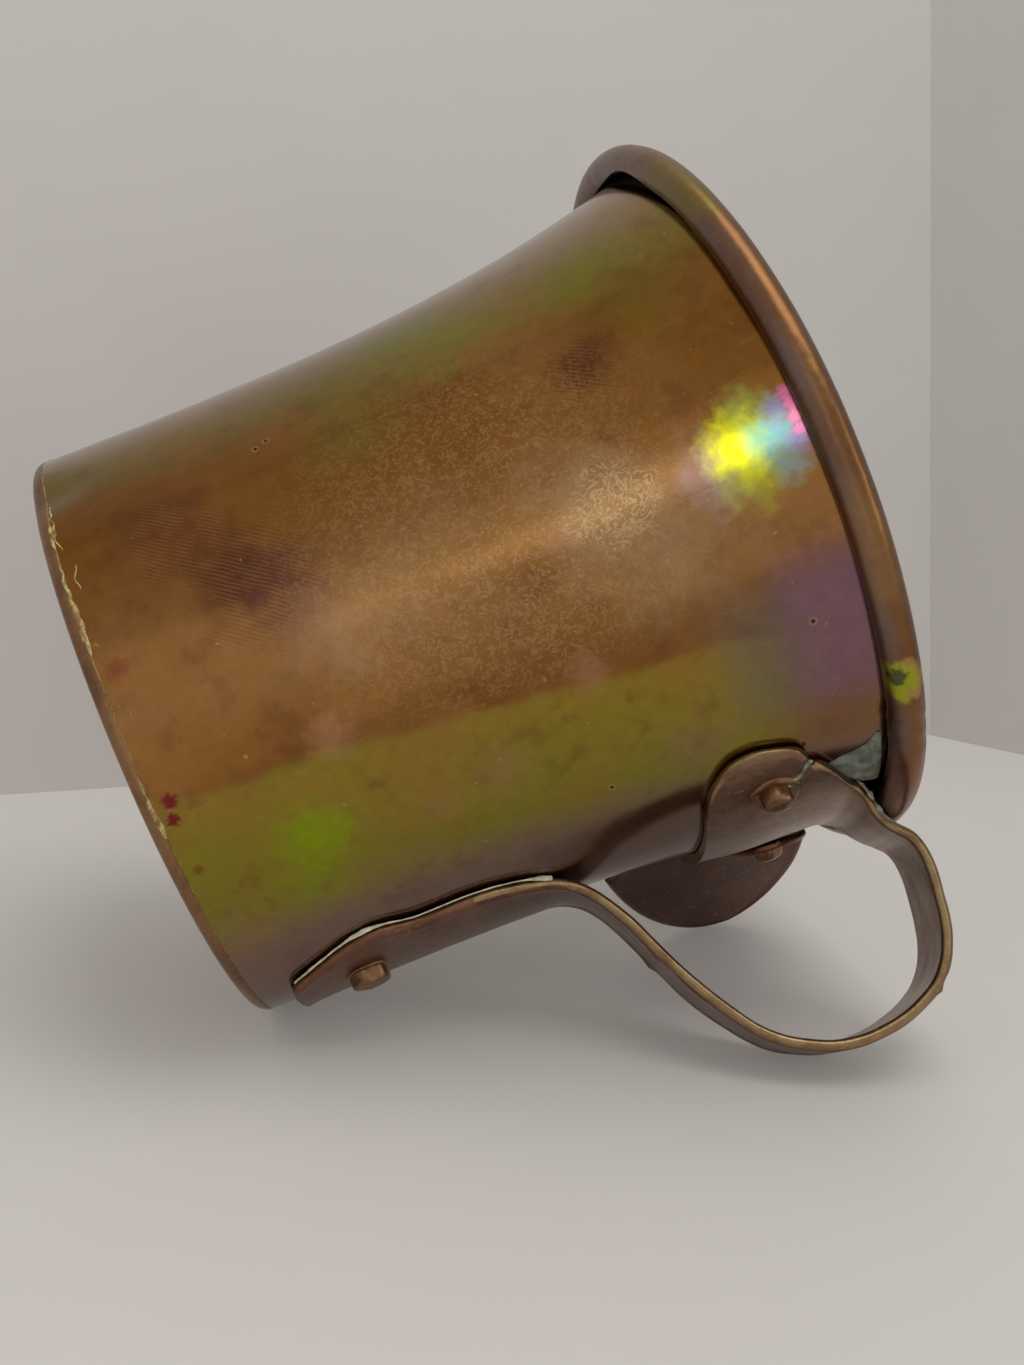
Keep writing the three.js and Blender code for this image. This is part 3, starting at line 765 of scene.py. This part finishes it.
def edge_depth(share, half, thickness, hem):
    """Depth above and below a strip's middle at a point across it, rounded at the edge and hemmed."""
    inset = half * (1 - abs(share))
    corner = thickness * 0.5
    rounding = math.sqrt(max(1 - max(0.0, 1 - inset / corner) ** 2, 0.0))
    ridge = hem * bump_at(inset, 0.9, 0.55)
    return (thickness / 2 + ridge) * rounding, thickness / 2 * rounding


def strip_loop(place, half, thickness, hem):
    """One closed loop round a strip: place(share, depth) gives the point."""
    upper = []
    lower = []
    for share in SHARES:
        above, below = edge_depth(share, half, thickness, hem)
        upper.append(place(share, above))
        lower.append(place(share, -below))
    return upper + lower[-2:0:-1]


LOOP_SIZE = 2 * SECTION_HALF_STEPS


def edge_slot(half_of_row, width):
    """A face belongs to the lighter edge band when it lies within `width` of either long edge."""

    def slot_of(row, column):
        index = column if column < SECTION_HALF_STEPS else LOOP_SIZE - 1 - column
        share = (SHARES[index] + SHARES[index + 1]) / 2
        inset = half_of_row(row) * (1 - abs(share))
        return 1 if inset < width else 0

    return slot_of


# ---- Handle strap ----

# Height on the wall and half width of the lower terminal, then the free loop's middle line as
# (x, z, half width, wrap round the wall), then the upper terminal's height and half width. A last number
# is the half width on the +Y side where it differs.
LOWER_TERMINAL = [
    (5.3, 5.6),
    (6.1, 7.6),
    (8.0, 9.2),
    (10.0, 10.6),
    (13.0, 12.4),
    (16.0, 13.3),
    (18.5, 13.0),
    (21.5, 12.0),
    (24.5, 12.0),
    (28.0, 12.1),
    (31.5, 11.7),
    (35.0, 10.6),
    (38.0, 8.7),
]
FINGER_LOOP = [
    (38.7, 40.3, 7.2, 0.7),
    (40.6, 42.4, 6.0, 0.3),
    (44.7, 44.7, 6.0, 0.0),
    (51.2, 47.3, 6.0, 0.0),
    (57.6, 50.5, 6.0, 0.0),
    (63.2, 54.7, 6.0, 0.0),
    (66.4, 60.2, 6.0, 0.0),
    (67.3, 65.6, 6.0, 0.0),
    (66.5, 70.8, 6.0, 0.0),
    (64.3, 75.2, 6.0, 0.0),
    (60.5, 78.0, 6.0, 0.0),
    (55.4, 79.5, 6.0, 0.0),
    (52.0, 80.1, 6.0, 0.1),
    (49.8, 79.7, 6.1, 0.3, 6.0),
    (48.5, 78.4, 6.8, 0.6, 6.0),
    (47.6, 77.2, 7.8, 0.9, 5.7),
    (46.3, 76.1, 9.4, 1.0, 5.4),
    (44.9, 75.4, 11.2, 1.0, 5.6),
    (44.0, 74.6, 13.0, 1.0, 6.5),
]
UPPER_TERMINAL = [
    (73.4, 14.4, 9.5),
    (71.4, 17.9, 17.2),
    (69.9, 19.6),
    (68.9, 20.0),
    (68.3, 21.6),
    (67.4, 22.6),
    (65.5, 23.2),
    (63.0, 23.3),
    (60.6, 22.5),
    (58.8, 20.9),
    (57.6, 18.7),
    (56.9, 16.4),
    (56.5, 14.0),
]


def wall_station(height, half, far=None):
    return (wall_radius(height) + STRAP_OFFSET, height, half, 1.0, far or half)


def loop_station(x, z, half, wrap, far=None):
    return (x, z, half, wrap, far or half)


STATIONS = (
    [wall_station(*row) for row in LOWER_TERMINAL]
    + [loop_station(*row) for row in FINGER_LOOP]
    + [wall_station(*row) for row in UPPER_TERMINAL]
)
STATION_STEPS = 7
STRAP_ROWS = (len(STATIONS) - 1) * STATION_STEPS + 1
RUBBED_HIGHLIT_FROM_ROW = 9 * STATION_STEPS  # the edge is painted lighter from the end of the lower terminal on: rubbed copper and painted highlight
RUBBED_HIGHLIT_WIDTH = 0.32
SLOPE_STEP = 0.02

LOWER_RIVET = {"height": 14.2, "degrees": -6, "radius": 2.35, "stack": 1.34, "collar": 2.9}
FRONT_RIVET = {"height": 64.7, "degrees": -22, "radius": 1.8, "stack": 1.34, "collar": 3.1}
REAR_RIVET = {"height": 68.5, "degrees": 20, "radius": 1.8, "stack": 2.74, "collar": 2.5}

# Where along the strap its hemmed edge is lapped: the fold steps down, then swells again.
HEM_LAPS = [15.68, 21.7]


def hem_height(position):
    step = 0
    for lap in HEM_LAPS:
        step += bump_at(position, lap, 0.09) - 0.7 * bump_at(position, lap + 0.26, 0.14)
    return 0.18 + 0.26 * step


def strap_row(position):
    x, z, half, wrap, far = curve_at(STATIONS, position)
    ahead = curve_at(STATIONS, min(position + SLOPE_STEP, len(STATIONS) - 1.01))
    behind = curve_at(STATIONS, max(position - SLOPE_STEP, 0))
    tangent = Vector((ahead[0] - behind[0], 0, ahead[1] - behind[1])).normalized()
    waver = 0.06 * ripple((position * 2.1, 0, 0), 2.6, 2.0)
    near = half * (1 + 0.25 * waver)
    far = far * (1 + 0.25 * waver)
    wrap = clamp(wrap)

    def place(share, depth):
        across = -share * (far if share < 0 else near)
        turn = across / x
        radius = x + depth * tangent.z
        point = Vector(
            (
                lerp(radius, radius * math.cos(turn), wrap),
                lerp(across, radius * math.sin(turn), wrap),
                z - depth * tangent.x,
            )
        )
        outward = Vector((tangent.z, 0, -tangent.x))
        dimple = 0.07 * ripple(point, 2.6, 4.0) + 0.10 * ripple(point, 7.0, 1.0)
        return point + outward * dimple * (0.35 + 0.65 * (1 - wrap))

    return strip_loop(place, half, STRAP_THICKNESS, hem=hem_height(position))


def strap_half(row):
    return curve_at(STATIONS, row / STATION_STEPS)[2]


def make_strap():
    last = len(STATIONS) - 1.002
    loops = [strap_row(min(row / STATION_STEPS, last)) for row in range(STRAP_ROWS)]
    rubbed_highlit = edge_slot(strap_half, RUBBED_HIGHLIT_WIDTH)

    def slots(row, column):
        if row > RUBBED_HIGHLIT_FROM_ROW and rubbed_highlit(row, column):
            return 1
        return 2 if column >= SECTION_HALF_STEPS else 0

    materials = [sheets["strap_copper"], sheets["rubbed_highlit_edge_copper"], sheets["strap_inner_copper"]]
    return loops_piece("handle_strap_sheet", loops, materials, slot_of=slots, smooth_angle=60)


strap = make_strap()

# ---- Rear wing ----

WING_THICKNESS = 1.0
# The wing's edge band keeps the lighter strap copper beside its face of painted shade.
WING_EDGE_BAND_WIDTH = 0.3
WING_NORMAL = math.radians(-22)
WING_DISTANCE = 25.2
WING_TIP = 58.3
WING_FOOT_DEGREES = 12
WING_FOOT_CENTRE = 68.0
WING_FOOT_HALF = 5.5
LEAF_CENTRE = 61.6
LEAF_HALF = 15.8
LEAF_LEAN = 2.8
WING_OFFSET = 0.3 + STRAP_THICKNESS + 0.3 + WING_THICKNESS / 2
FOOT_ROWS = 22
LEAF_ROWS = 50
BLUNT = 0.05


def wing_middle(part, height):
    radius = wall_radius(height) + WING_OFFSET
    root_along = math.sqrt(radius**2 - WING_DISTANCE**2)
    root_turn = math.degrees(math.atan2(root_along, WING_DISTANCE) + WING_NORMAL)
    if part <= 1:
        return on_circle(radius, lerp(WING_FOOT_DEGREES, root_turn, part), height)
    along = lerp(root_along, WING_TIP, part - 1)
    normal = Vector((math.cos(WING_NORMAL), math.sin(WING_NORMAL), 0))
    outward = Vector((-math.sin(WING_NORMAL), math.cos(WING_NORMAL), 0))
    return normal * WING_DISTANCE + outward * along + Vector((0, 0, height))


def oval_width(reach):
    return math.sqrt(max(1 - reach**2, BLUNT**2))


def wing_edges(part):
    foot_half = WING_FOOT_HALF * oval_width(1 - min(part / 0.45, 1))
    reach = max(lerp(0.18, 1, part - 1), 0)
    leaf_half = LEAF_HALF * oval_width(reach)
    leaf_centre = LEAF_CENTRE + LEAF_LEAN * reach
    low = lerp(WING_FOOT_CENTRE - foot_half, leaf_centre - leaf_half, smooth(part, 0.9, 1.06))
    high = lerp(WING_FOOT_CENTRE + foot_half, leaf_centre + leaf_half, smooth(part, 1, 1.2))
    return (low + high) / 2, (high - low) / 2


def wing_part(row):
    if row <= FOOT_ROWS:
        return row / FOOT_ROWS
    return 1 + math.sin((row - FOOT_ROWS) / LEAF_ROWS * math.pi / 2)


def wing_row(row):
    part = wing_part(row)
    centre, half = wing_edges(part)

    def place(share, depth):
        height = centre + share * half
        ahead = wing_middle(min(part + SLOPE_STEP, 2), height)
        behind = wing_middle(max(part - SLOPE_STEP, 0), height)
        along = ahead - behind
        face = Vector((along.y, -along.x, 0)).normalized()
        point = wing_middle(part, height) + face * depth
        return point + face * 0.10 * ripple(point, 9, 6.0)

    return strip_loop(place, half, WING_THICKNESS, hem=0.12)


def wing_half(row):
    return wing_edges(wing_part(row))[1]


wing_loops = [wing_row(row) for row in range(FOOT_ROWS + LEAF_ROWS + 1)]
wing = loops_piece(
    "rear_wing_leaf",
    wing_loops,
    [sheets["wing_painted_shade_copper"], sheets["strap_copper"]],
    slot_of=edge_slot(wing_half, WING_EDGE_BAND_WIDTH),
    smooth_angle=60,
)

# ---- Rivets ----


def make_rivet(name, rivet, seed, steps=40):
    """A hammered head on a low collar, its shank through the sheets, and a burr inside the mug."""
    radius = rivet["radius"]
    lift = rivet["stack"]
    collar = rivet["collar"]
    inside = -WALL_THICKNESS
    profile = [
        (0.6, inside - 1.05),
        (1.6, inside - 0.95),
        (2.2, inside - 0.6),
        (2.35, inside - 0.1),
        (1.2, inside),
        (1.2, lift - 0.1),
        (collar, lift - 0.05),
        (collar - 0.15, lift + 0.16),
        (collar - 0.5, lift + 0.26),
        (radius + 0.35, lift + 0.16),
        (radius + 0.05, lift + 0.20),
        (radius, lift + 0.5),
        (radius * 0.99, lift + 1.35),
        (radius * 0.88, lift + 1.68),
        (radius * 0.60, lift + 1.84),
        (radius * 0.25, lift + 1.90),
    ]
    height = rivet["height"]
    rise = 0.5
    tilt = math.atan((wall_radius(height + rise) - wall_radius(height - rise)) / (2 * rise))
    stand = (
        Matrix.Rotation(math.radians(rivet["degrees"]), 4, "Z")
        @ Matrix.Translation((wall_radius(height), 0, height))
        @ Matrix.Rotation(tilt, 4, "Y")
    )
    loops = []
    for ring_radius, along in profile:
        loop = []
        for step in range(steps):
            turn = 2 * math.pi * step / steps
            hammered = ripple((math.cos(turn), math.sin(turn), along), 0.8, seed)
            wide = ring_radius * (1 + 0.035 * math.cos(5 * turn + seed) + 0.03 * hammered)
            proud = along + 0.10 * ripple((wide, turn, 0), 1.2, seed)
            loop.append(stand @ Vector((proud, wide * math.cos(turn), wide * math.sin(turn))))
        loops.append(loop)
    return loops_piece(name, loops, [sheets["rivet_copper"]], smooth_angle=35)


rivet_lower = make_rivet("rivet_lower_head", LOWER_RIVET, 1.0)
rivet_front = make_rivet("rivet_upper_front_head", FRONT_RIVET, 2.0)
rivet_rear = make_rivet("rivet_upper_rear_head", REAR_RIVET, 3.0)

# ---- Solder and verdigris ----

TUBE_LUMPS = 0.45


def tube_loops(path, radius_at, sides=12, seed=0.0):
    """Loops along a line of points, thicker and thinner as radius_at(share) and noise say."""
    loops = []
    for index, centre in enumerate(path):
        ahead = path[min(index + 1, len(path) - 1)]
        behind = path[max(index - 1, 0)]
        tangent = (ahead - behind).normalized()
        outward = Vector((centre.x, centre.y, 0)).normalized()
        beside = tangent.cross(outward).normalized()
        radius = radius_at(index / (len(path) - 1))
        loop = []
        for side in range(sides):
            turn = 2 * math.pi * side / sides
            aside = beside * math.cos(turn) + outward * math.sin(turn)
            lump = 1 + TUBE_LUMPS * ripple(centre + aside, 0.9, seed)
            loop.append(centre + aside * radius * lump)
        loops.append(loop)
    return loops


def lumpy_tube(name, path, radius_at, material, seed):
    return loops_piece(name, tube_loops(path, radius_at, seed=seed), [material], smooth_angle=80)


def run_loops(run):
    """One run of braze: a tapered thread that swells and thins."""
    count = max(int(abs(run["to"] - run["from"]) * 4), 8)
    path = [braze_line(run, k / count) for k in range(count + 1)]

    def radius_at(share):
        return run["radius"] * (0.25 + 0.75 * math.sin(math.pi * share) ** 0.6)

    return tube_loops(path, radius_at, sides=10, seed=run["from"])


def make_braze():
    points = []
    faces = []
    for run in [BRAZE_SEAM] + BRAZE_RUNS:
        loops = run_loops(run)
        faces += skin_faces(len(loops), len(loops[0]), start=len(points))
        points += [p for loop in loops for p in loop]
    return make_piece("base_braze_seam", points, faces, [braze_metal], smooth_angle=80)


base_braze = make_braze()


def terminal_edge(position):
    height, half = curve_at(LOWER_TERMINAL, position)
    radius = wall_radius(height) + 0.45
    return on_circle(radius, -math.degrees((half + 0.25) / radius), height)


def bead_radius(share):
    """A thin line that swells where the terminal is widest and at its upper end."""
    swell = 0.17 * bump_at(share, 0.36, 0.07) + 0.06 * bump_at(share, 0.12, 0.1)
    return 0.09 + swell + 0.2 * smooth(share, 0.9, 0.97)


BEAD_POINTS = 110
bead_path = [terminal_edge(1.0 + k * 0.1) for k in range(BEAD_POINTS)]
terminal_bead = lumpy_tube("terminal_solder_line", bead_path, bead_radius, pale_solder, 7.0)

# The dull mass in the corner between the strap's upper terminal and the rim: at each angle, the heights it
# starts and ends at.
FILLET_SPANS = [
    (-29.5, 76.3, 76.8),
    (-27.5, 75.4, 76.85),
    (-26.2, 74.0, 76.9),
    (-25.0, 72.2, 76.95),
    (-23.8, 71.0, 77.0),
    (-22.0, 71.6, 77.0),
    (-19.4, 72.8, 77.0),
    (-17.6, 73.6, 76.9),
    (-16.4, 74.6, 76.2),
]
FILLET_THICKNESS = 1.1
FILLET_ROWS = 48
FILLET_COLUMNS = 20


def fillet_loop(row):
    along = row / FILLET_ROWS
    degrees, low, high = curve_at(FILLET_SPANS, along * (len(FILLET_SPANS) - 1))
    ends = max(1 - abs(2 * along - 1) ** 5, 0.02)
    upper = []
    lower = []
    for column in range(FILLET_COLUMNS + 1):
        share = column / FILLET_COLUMNS
        height = lerp(low, high, share)
        radius = wall_radius(height)
        rounding = math.sqrt(max(1 - (1 - 2 * share) ** 4, 0.02)) * ends
        spot = on_circle(radius, degrees, height)
        swell = 0.30 + 0.55 * share + 0.30 * ripple(spot, 1.3, 8.0) + 0.10 * ripple(spot, 0.5, 3.0)
        upper.append(on_circle(radius + 0.06 + FILLET_THICKNESS * swell * rounding, degrees, height))
        lower.append(on_circle(radius + 0.02, degrees, height))
    return upper + lower[::-1]


fillet_loops = [fillet_loop(row) for row in range(FILLET_ROWS + 1)]
rim_fillet = loops_piece("rim_verdigris_fillet", fillet_loops, [dull_solder], smooth_angle=80)

# The crack in the upper terminal, crusted with verdigris from the notch to the rivet.
CRACK_PATH = [
    (-28.6, 68.6),
    (-27.2, 67.9),
    (-25.6, 67.4),
    (-24.9, 66.9),
    (-24.6, 66.2),
    (-23.6, 65.9),
    (-23.2, 66.6),
]
CRACK_STEPS = 60


def crack_point(position):
    degrees, height = curve_at(CRACK_PATH, position)
    return on_circle(wall_radius(height) + STRAP_OFFSET + STRAP_THICKNESS / 2 + 0.06, degrees, height)


def crack_radius(share):
    return 0.20 + 0.06 * math.sin(share * 17)


crack_path = [crack_point(k * (len(CRACK_PATH) - 1) / CRACK_STEPS) for k in range(CRACK_STEPS + 1)]
crack = lumpy_tube("terminal_crack_crust", crack_path, crack_radius, verdigris, 9.0)

# Pale crust along the strap's near edge where it passes under the rim.
EDGE_CRUST_FROM = 27.6
EDGE_CRUST_TO = 31.4
EDGE_CRUST_STEPS = 70


def crust_point(position):
    x, z, half, wrap, _ = curve_at(STATIONS, position)
    turn = -half / x
    lift = STRAP_THICKNESS * 0.35
    out = lerp(x, x * math.cos(turn), wrap) - lift
    return Vector((out, lerp(-half, x * math.sin(turn), wrap), z + lift * 0.5))


def crust_radius(share):
    return 0.12 + 0.26 * math.sin(math.pi * share) * (0.8 + 0.4 * math.sin(share * 23))


crust_path = []
for k in range(EDGE_CRUST_STEPS + 1):
    crust_path.append(crust_point(lerp(EDGE_CRUST_FROM, EDGE_CRUST_TO, k / EDGE_CRUST_STEPS)))
edge_crust = lumpy_tube("strap_edge_crust", crust_path, crust_radius, verdigris, 11.0)

# ---- Each piece takes over from its CAD node ----

PIECES = [
    (body_wall, "body_wall", "tarnished_copper"),
    (rim_wire, "rim_wire", "iron_wire"),
    (base_disc, "base_disc", "tarnished_copper"),
    (base_braze, "base_braze_ring", "brass_braze"),
    (strap, "handle_strap", "tarnished_copper"),
    (wing, "rear_wing", "dark_copper"),
    (rivet_lower, "rivet_lower", "rivet_copper"),
    (rivet_front, "rivet_upper_front", "rivet_copper"),
    (rivet_rear, "rivet_upper_rear", "rivet_copper"),
    (terminal_bead, "terminal_solder_bead", "soft_solder"),
    (rim_fillet, "rim_solder_fillet", "soft_solder"),
]
for piece, node, slot in PIECES:
    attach(piece, "root")
    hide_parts(node)
for crust in (crack, edge_crust):
    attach(crust, "root")

# ---- Camera ----

CAMERA_PLACE = Vector((0.059475, -0.179117, 0.023928))
CAMERA_RIGHT = Vector((0.3915, 0.00407, 0.92017)).normalized()
CAMERA_UP = Vector((-0.88225, -0.28249, 0.37661))
FRAME_LONG_SIDE = 1365
FOCAL_LENGTH = 1472  # in the same unit as FRAME_LONG_SIDE
SENSOR = 36.0

camera_back = CAMERA_RIGHT.cross(CAMERA_UP).normalized()
camera_up = camera_back.cross(CAMERA_RIGHT)
camera_data = bpy.data.cameras.new("camera")
camera_data.sensor_width = SENSOR
camera_data.lens = SENSOR * FOCAL_LENGTH / FRAME_LONG_SIDE
camera_data.clip_start = 0.005
camera = bpy.data.objects.new("camera", camera_data)
bpy.context.scene.collection.objects.link(camera)
turned = Matrix((CAMERA_RIGHT, camera_up, camera_back)).transposed().to_4x4()
camera.matrix_world = Matrix.Translation(CAMERA_PLACE) @ turned
bpy.context.scene.camera = camera

# ---- The table the mug lies on: it touches the wall's base edge, the handle and the wing ----

TABLE_UP = Vector((-0.81586, -0.4338, 0.38235)).normalized()


def resting_plane(pieces, upward, rounds=4):
    """The plane through the lowest point of each of three pieces, in millimetres."""
    clouds = [[v.co / MM for v in piece.data.vertices] for piece in pieces]
    for _ in range(rounds):
        a, b, c = (min(cloud, key=lambda p: p.dot(upward)) for cloud in clouds)
        normal = (b - a).cross(c - a).normalized()
        upward = normal if normal.dot(upward) > 0 else -normal
    return upward, min(p.dot(upward) for cloud in clouds for p in cloud)


table_up, table_level = resting_plane([body_wall, strap, wing], TABLE_UP)
ahead = (-camera_back - table_up * (-camera_back).dot(table_up)).normalized()
rightward = ahead.cross(table_up)
camera_height = CAMERA_PLACE.dot(table_up) - table_level * MM
below_camera = CAMERA_PLACE - table_up * camera_height


def stage_point(right, forward, up):
    """A point on the stage in millimetres right of, ahead of and above the table under the camera."""
    return below_camera + (rightward * right + ahead * forward + table_up * up) * MM


def stage_material(name, colour, glow=0.0):
    """Matt studio surface seen only from its front, so that it never hides the mug. A faint glow stands
    for light bounced under the mug from the room."""
    graph = Graph(name)
    specks = graph.step(graph.noise(1.6, detail=2), 0.79, 0.82)
    cloud = graph.noise(40, detail=3)
    tone = graph.mix(cloud, [c * 0.96 for c in colour], [c * 1.04 for c in colour])
    tone = graph.paint(tone, specks, 0.25, [c * 0.45 for c in colour])
    inputs = {
        "Base Color": tone,
        "Roughness": 0.55,
        "Emission Color": (1.0, 0.96, 0.91),
        "Emission Strength": glow,
    }
    surface = graph.node("ShaderNodeBsdfPrincipled", inputs)
    clear = graph.node("ShaderNodeBsdfTransparent")
    facing = graph.node("ShaderNodeNewGeometry").outputs["Backfacing"]
    shown = graph.node("ShaderNodeMixShader", {0: facing, 1: surface.outputs[0], 2: clear.outputs[0]})
    graph.feed(graph.output.inputs["Surface"], shown.outputs[0])
    return graph.material


def stage_panel(name, corners, material, faces_towards):
    mesh = bpy.data.meshes.new(name)
    a, b, c = corners[:3]
    if (b - a).cross(c - a).dot(faces_towards) < 0:
        corners = corners[::-1]
    mesh.from_pydata(corners, [], [tuple(range(len(corners)))])
    mesh.materials.append(material)
    panel = bpy.data.objects.new(name, mesh)
    bpy.context.scene.collection.objects.link(panel)


TABLE_NEAR = 42.0
STAGE_SIDE = 900.0
STAGE_HEIGHT = 900.0
BACKDROP_LEAN = 0.095
LEFT_WALL_BASE = [(-94.4, 264.0), (101.7, 348.2)]
RIGHT_WALL_BASE = [(101.7, 348.2), (118.8, 331.2)]
RIGHT_WALL_REACH = 330.0


def along_line(line, right):
    (r0, f0), (r1, f1) = line
    return (right, f0 + (f1 - f0) * (right - r0) / (r1 - r0))


left_end = along_line(LEFT_WALL_BASE, -STAGE_SIDE)
corner = LEFT_WALL_BASE[1]
right_end = along_line(RIGHT_WALL_BASE, corner[0] + RIGHT_WALL_REACH)
table_corners = [
    stage_point(-STAGE_SIDE, TABLE_NEAR, 0),
    stage_point(STAGE_SIDE, TABLE_NEAR, 0),
    stage_point(STAGE_SIDE, STAGE_SIDE, 0),
    stage_point(-STAGE_SIDE, STAGE_SIDE, 0),
]
table_paint = stage_material("table_paint", (0.53, 0.51, 0.49), glow=0.115)
wall_paint = stage_material("wall_paint", (0.63, 0.605, 0.585))
stage_panel("table_top", table_corners, table_paint, table_up)
for name, (start, end) in {"left_wall": (left_end, corner), "right_wall": (corner, right_end)}.items():
    lean = BACKDROP_LEAN * STAGE_HEIGHT
    panel = [
        stage_point(*start, 0),
        stage_point(*end, 0),
        stage_point(end[0] - lean, end[1], STAGE_HEIGHT),
        stage_point(start[0] - lean, start[1], STAGE_HEIGHT),
    ]
    stage_panel(name, panel, wall_paint, below_camera - panel[0])

# ---- Light: a bright room, a soft lamp overhead, two fills, and a small lamp for the bright patch ----


def area_lamp(name, place, target, size, power, colour):
    data = bpy.data.lights.new(name, "AREA")
    data.shape = "RECTANGLE"
    data.size, data.size_y = (side * MM for side in size)
    data.energy = power
    data.color = colour
    lamp = bpy.data.objects.new(name, data)
    lamp.location = place
    lamp.rotation_euler = (target - place).to_track_quat("-Z", "Y").to_euler()
    lamp.visible_camera = False
    bpy.context.scene.collection.objects.link(lamp)


subject = stage_point(0, 190, 45)
glint_target = wall_point(-79, 70.4) * MM
area_lamp("overhead", stage_point(160, 60, 700), subject, (600, 500), 2.3, (1.0, 0.985, 0.96))
area_lamp("glint", stage_point(-2, -30, 148), glint_target, (34, 26), 0.0036, (1.0, 0.99, 0.95))
area_lamp("side_fill", stage_point(600, 0, 300), subject, (300, 300), 0.7, (1.0, 0.98, 0.97))
area_lamp("front_fill", stage_point(-100, -650, 240), subject, (900, 420), 0.25, (1.0, 0.98, 0.96))

world = bpy.data.worlds.new("room")
world.use_nodes = True
room = world.node_tree.nodes["Background"]
room.inputs["Color"].default_value = (1.0, 0.975, 0.95, 1.0)
room.inputs["Strength"].default_value = 0.62
bpy.context.scene.world = world
bpy.context.scene.view_settings.view_transform = "Standard"
